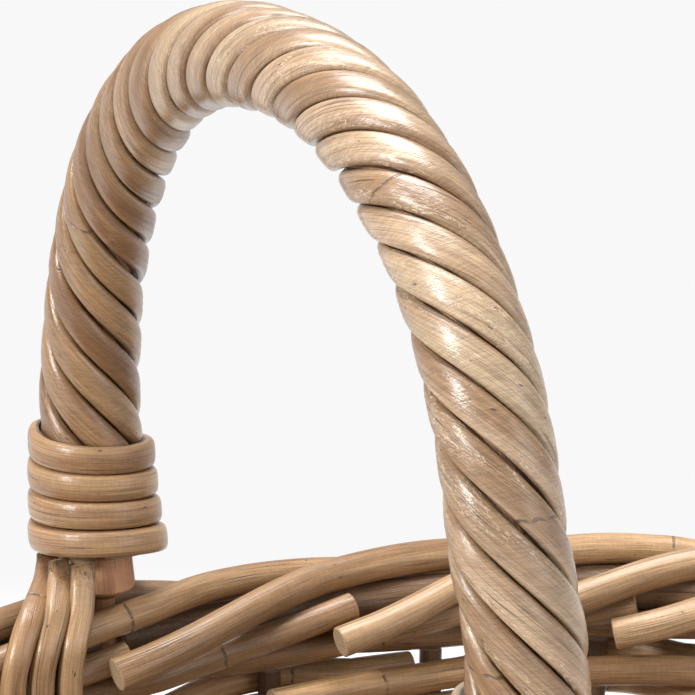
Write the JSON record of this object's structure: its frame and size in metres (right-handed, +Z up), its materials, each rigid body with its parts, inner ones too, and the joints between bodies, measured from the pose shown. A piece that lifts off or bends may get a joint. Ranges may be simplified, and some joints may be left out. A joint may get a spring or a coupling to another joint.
{
  "type": "shopping basket",
  "caption": "Oval woven cane basket with an open top and one fixed bow handle wrapped in twisted split cane.",
  "frame": {"origin": "on the floor, under the middle of the basket", "axes": "+X along the basket's length, +Y across it towards one handle leg, +Z up"},
  "size_m": [0.4868, 0.2948, 0.3993],
  "materials": {
    "cane_wall": "grey-tan rattan cane, dull lacquer",
    "cane_border": "grey-beige rattan rod, satin lacquer",
    "cane_rib": "brown rattan stick, dry",
    "split_cane": "light tan split rattan, glossy lacquer with fine grain",
    "bare_pole": "bare peach-brown rattan pole, matt"
  },
  "bodies": {
    "root": {"base_cane_01": "cane_wall", "base_cane_02": "cane_wall", "base_cane_03": "cane_wall", "base_cane_04": "cane_wall", "base_cane_05": "cane_wall", "base_cane_06": "cane_wall", "base_cane_07": "cane_wall", "base_cane_08": "cane_wall", "binding_far": "split_cane", "binding_near": "split_cane", "border_core_1": "cane_rib", "border_core_2": "cane_rib", "border_rod_1": "cane_border", "border_rod_2": "cane_border", "border_rod_3": "cane_border", "border_rod_4": "cane_border", "border_rod_5": "cane_border", "border_rod_6": "cane_border", "corner_hoop": "cane_wall", "cross_rib_1": "cane_rib", "cross_rib_2": "cane_rib", "cross_rib_3": "cane_rib", "cross_rib_4": "cane_rib", "cross_rib_5": "cane_rib", "cross_rib_6": "cane_rib", "end_rib_1": "cane_rib", "end_rib_2": "cane_rib", "end_rib_3": "cane_rib", "foot_hoop": "cane_rib", "handle_pole": "bare_pole", "handle_strand_1": "split_cane", "handle_strand_2": "split_cane", "handle_strand_3": "split_cane", "handle_strand_4": "split_cane", "handle_strand_5": "split_cane", "handle_strand_6": "split_cane", "middle_stick": "cane_rib", "strand_tail_far_1": "split_cane", "strand_tail_far_2": "split_cane", "strand_tail_far_3": "split_cane", "strand_tail_near_1": "split_cane", "strand_tail_near_2": "split_cane", "strand_tail_near_3": "split_cane", "wall_row_01": "cane_wall", "wall_row_02": "cane_wall", "wall_row_03": "cane_wall", "wall_row_04": "cane_wall", "wall_row_05": "cane_wall", "wall_row_06": "cane_wall", "wall_row_07": "cane_wall", "wall_row_08": "cane_wall", "wall_row_09": "cane_wall", "wall_row_10": "cane_wall", "wall_row_11": "cane_wall", "wall_row_12": "cane_wall"}
  },
  "joints": []
}
